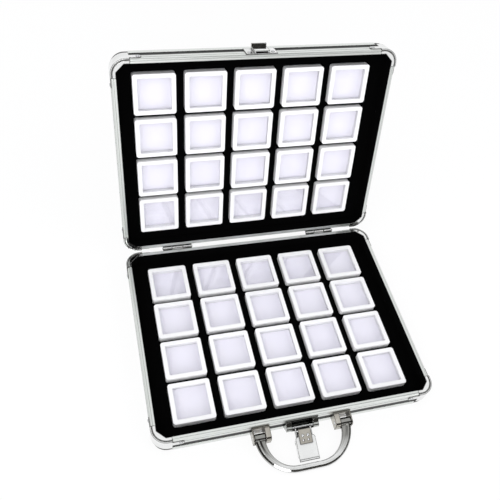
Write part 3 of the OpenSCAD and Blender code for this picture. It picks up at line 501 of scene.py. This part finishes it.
def foam_tray(shift):
    """Foam slab, lying in its half: a grid of cells, each inset to a pocket and pushed down."""
    mesh = bmesh.new()
    bmesh.ops.create_grid(mesh, x_segments=columns, y_segments=rows, size=0.5)
    bmesh.ops.scale(mesh, verts=mesh.verts, vec=(columns * pitch_x, rows * pitch_y, 1))
    bmesh.ops.translate(mesh, verts=mesh.verts, vec=(shift, 0, foam_high.z))
    pocket_w = jar_w + 2 * POCKET_GAP
    rib = (pitch_y - pocket_w) / 2
    cells = list(mesh.faces)
    bmesh.ops.inset_individual(mesh, faces=cells, thickness=rib)
    for cell in cells:
        middle = cell.calc_center_median()
        squeeze = Matrix.Translation(middle) @ Matrix.Diagonal(
            (pocket_w / (pitch_x - 2 * rib), 1, 1, 1)) @ Matrix.Translation(-middle)
        bmesh.ops.transform(mesh, verts=cell.verts, matrix=squeeze)
    # the margin round the grid runs out to the lining, and its corners are cut round
    rim = [edge for edge in mesh.edges if edge.is_boundary]
    grown = bmesh.ops.extrude_edge_only(mesh, edges=rim)["geom"]
    outer = [v for v in grown if isinstance(v, bmesh.types.BMVert)]
    half_w = columns * pitch_x / 2
    half_d = rows * pitch_y / 2
    for vert in outer:
        if abs(abs(vert.co.x - shift) - half_w) < NEAR:
            vert.co.x = math.copysign(foam_high.x, vert.co.x)
        if abs(abs(vert.co.y) - half_d) < NEAR:
            vert.co.y = math.copysign(foam_high.y, vert.co.y)
    rim = [edge for edge in mesh.edges if edge.is_boundary]
    grown = bmesh.ops.extrude_edge_only(mesh, edges=rim)["geom"]
    low = [v for v in grown if isinstance(v, bmesh.types.BMVert)]
    bmesh.ops.translate(mesh, verts=low, vec=(0, 0, foam_low.z - foam_high.z))
    bmesh.ops.contextual_create(mesh, geom=[e for e in mesh.edges if e.is_boundary])
    # the pockets
    pushed = bmesh.ops.extrude_discrete_faces(mesh, faces=cells)["faces"]
    floor_verts = {vert for face in pushed for vert in face.verts}
    bmesh.ops.translate(mesh, verts=list(floor_verts), vec=(0, 0, pocket_floor - foam_high.z))

    def uprights(low_z, at_corner):
        """Upright edges above a height: those at the slab's own corners, or all the others."""
        found = []
        for edge in mesh.edges:
            a, b = (vert.co for vert in edge.verts)
            stands = abs(a.x - b.x) < NEAR and abs(a.y - b.y) < NEAR and abs(a.z - b.z) > NEAR
            corner = abs(abs(a.x) - foam_high.x) < NEAR and abs(abs(a.y) - foam_high.y) < NEAR
            if stands and corner == at_corner and min(a.z, b.z) > low_z - NEAR:
                found.append(edge)
        return found

    walls = [e for e in uprights(pocket_floor, False)
             if not any(abs(abs(v.co.x) - foam_high.x) < NEAR or
                        abs(abs(v.co.y) - foam_high.y) < NEAR for v in e.verts)]
    bmesh.ops.bevel(mesh, geom=walls, offset=POCKET_CORNER_R, segments=4, profile=0.5,
                    affect="EDGES", material=-1)
    bmesh.ops.bevel(mesh, geom=uprights(foam_low.z, True), offset=FOAM_CORNER_R, segments=6,
                    profile=0.5, affect="EDGES", material=-1)
    bmesh.ops.recalc_face_normals(mesh, faces=mesh.faces)
    # the cut edges at the top, found as the ones between the top and a wall
    sharp = [e for e in mesh.edges if len(e.link_faces) == 2
             and all(abs(v.co.z - foam_high.z) < NEAR for v in e.verts)
             and e.calc_face_angle(0) > SHARP_ANGLE]
    bmesh.ops.bevel(mesh, geom=sharp, offset=FOAM_EDGE_R, segments=3, profile=0.5,
                    affect="EDGES", material=-1)
    top_edges = [e for e in mesh.edges if e.calc_length() > LONG_EDGE
                 and all(abs(v.co.z - foam_high.z) < NEAR for v in e.verts)]
    bmesh.ops.subdivide_edges(mesh, edges=top_edges, cuts=4, use_grid_fill=True)
    for vert in mesh.verts:
        if abs(vert.co.z - foam_high.z) < NEAR:
            across = math.cos(math.pi * (vert.co.x - shift) / pitch_x)
            down = math.cos(math.pi * vert.co.y / pitch_y)
            vert.co.z -= FOAM_WAVE * (0.5 + 0.5 * across * down)
    return mesh


foam_look = finish("black_foam", Roughness=0.97, Specular_IOR_Level=0.012, Sheen_Weight=0.003,
                   Sheen_Roughness=0.7)
spread(foam_look, ramped(foam_look.tree, grain(foam_look, 1800, kind="TexVoronoi"), 0.1, 0.5),
       FOAM_PORE, FOAM_BLACK, "Base Color")
emboss(foam_look, grain(foam_look, 1800, kind="TexVoronoi"), 0.00025, strength=0.7)
base_foam = make_piece("base_foam_tray", foam_tray(0), foam_look.material, "base")
lid_foam_mesh = foam_tray(lid_shift)
bmesh.ops.transform(lid_foam_mesh, verts=lid_foam_mesh.verts, matrix=to_lid)
bmesh.ops.recalc_face_normals(lid_foam_mesh, faces=lid_foam_mesh.faces)
lid_foam = make_piece("lid_foam_tray", lid_foam_mesh, foam_look.material, "lid")
for piece, node in ((base_foam, "base_foam"), (lid_foam, "lid_foam")):
    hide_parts(node)

# Jar trays and covers: white polystyrene mouldings, smooth and slightly glossy. The cover's
# frame stands over the window, and its skirt comes down over the neck of the tray.
JAR_WHITE = (0.9, 0.9, 0.905, 1)
JAR_SHADE = (0.87, 0.87, 0.88, 1)
JAR_ROUNDING = 0.0006
jar_plastic = finish("white_polystyrene", Roughness=0.3, Specular_IOR_Level=0.4)
jar_plastic.edge.inputs["Radius"].default_value = JAR_ROUNDING
spread(jar_plastic, ramped(jar_plastic.tree, grain(jar_plastic, 25, detail=2), 0.35, 0.7),
       JAR_WHITE, JAR_SHADE, "Base Color")
spread(jar_plastic, grain(jar_plastic, 300, detail=3), 0.24, 0.36, "Roughness")
dress(jar_plastic.material, "base_jar_trays", "base_jar_covers", "lid_jar_trays",
      "lid_jar_covers", "loose_jar_tray", "loose_jar_cover")

# Windows: clear acrylic panes held under the frames, which show a faint reflection and a few
# wiping streaks.
PANE_TINT = (0.94, 0.935, 1.0, 1)
PANE_OPACITY = 0.04
PANE_POLISH = 0.03
PANE_SHINE = 0.07
pane = finish("clear_acrylic", Base_Color=PANE_TINT, Alpha=PANE_OPACITY, IOR=1.49)
streaks = grain(pane, 14, detail=4, stretch=(1, 0.2, 1), turn=(0, 0, 0.6))
spread(pane, ramped(pane.tree, streaks, 0.45, 0.7), 0.0, 0.06, "Roughness")
polish = add(pane.tree, "BsdfGlossy", Roughness=PANE_POLISH)
layered = add(pane.tree, "MixShader", Fac=PANE_SHINE)
pane.tree.links.new(pane.surface.outputs[0], layered.inputs[1])
pane.tree.links.new(polish.outputs[0], layered.inputs[2])
pane.tree.links.new(layered.outputs[0], pane.out.inputs["Surface"])
dress(pane.material, "base_jar_windows", "lid_jar_windows", "loose_jar_window")

# Pads: soft white foam cut a little smaller than the jar, crowned where it bulges free.
PAD_WHITE = (0.93, 0.915, 1.0, 1)
PAD_GREY = (0.9, 0.88, 1.0, 1)
PAD_EDGE_R = 0.0008
PAD_CROWN = 0.00035
pad_low, pad_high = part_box("loose_jar_pad")
pad_w = pad_high.x - pad_low.x


def pad_at(mesh, x, y):
    """Adds one crowned pad to a mesh, lying in its half with its middle at x, y."""
    made = bmesh.ops.create_cube(mesh, size=1)["verts"]
    size = (pad_w, pad_w, pad_high.z - pad_low.z)
    bmesh.ops.scale(mesh, verts=made, vec=size)
    bmesh.ops.translate(mesh, verts=made, vec=(x, y, (pad_low.z + pad_high.z) / 2))
    edges = list({edge for vert in made for edge in vert.link_edges})
    rounded = bmesh.ops.bevel(mesh, geom=edges, offset=PAD_EDGE_R, segments=3, profile=0.5,
                              affect="EDGES", material=-1)
    faces = {face for vert in rounded["verts"] for face in vert.link_faces}
    long_edges = {edge for face in faces for edge in face.edges if edge.calc_length() > pad_w / 2}
    bmesh.ops.subdivide_edges(mesh, edges=list(long_edges), cuts=7, use_grid_fill=True)


def crown(mesh, places):
    """Lowers the tops of the pads towards their edges, so that their middles stand crowned."""
    for vert in mesh.verts:
        if vert.co.z < pad_high.z - NEAR:
            continue
        x, y = min(places, key=lambda p: (vert.co.x - p[0]) ** 2 + (vert.co.y - p[1]) ** 2)
        u = min(1, abs(vert.co.x - x) / (pad_w / 2))
        v = min(1, abs(vert.co.y - y) / (pad_w / 2))
        vert.co.z -= PAD_CROWN * (1 - (1 - u ** 4) * (1 - v ** 4))


def jar_places(shift):
    """Middles of the twenty jars of one half, whose grid is shifted along X."""
    return [((i - (columns - 1) / 2) * pitch_x + shift, (j - (rows - 1) / 2) * pitch_y)
            for i in range(columns) for j in range(rows)]


loose_place = ((jar_low.x + jar_high.x) / 2, (jar_low.y + jar_high.y) / 2)
fixed_places = [p for p in jar_places(0)
                if math.hypot(p[0] - loose_place[0], p[1] - loose_place[1]) > jar_w / 2]
pad_look = finish("white_pad", Roughness=0.85, Specular_IOR_Level=0.2, Sheen_Weight=0.1)
spread(pad_look, grain(pad_look, 45, detail=3), PAD_WHITE, PAD_GREY, "Base Color")
emboss(pad_look, grain(pad_look, 1500, detail=2), 0.0001, strength=0.4)
for name, node, body, places, placed in (
    ("base_pads", "base_jar_pads", "base", fixed_places, Matrix()),
    ("lid_pads", "lid_jar_pads", "lid", jar_places(lid_shift), to_lid),
    ("loose_pad", "loose_jar_pad", "jar", [loose_place], Matrix()),
):
    pads = bmesh.new()
    for x, y in places:
        pad_at(pads, x, y)
    crown(pads, places)
    bmesh.ops.transform(pads, verts=pads.verts, matrix=placed)
    bmesh.ops.recalc_face_normals(pads, faces=pads.faces)
    piece = make_piece(name, pads, pad_look.material, body)
    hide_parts(node)
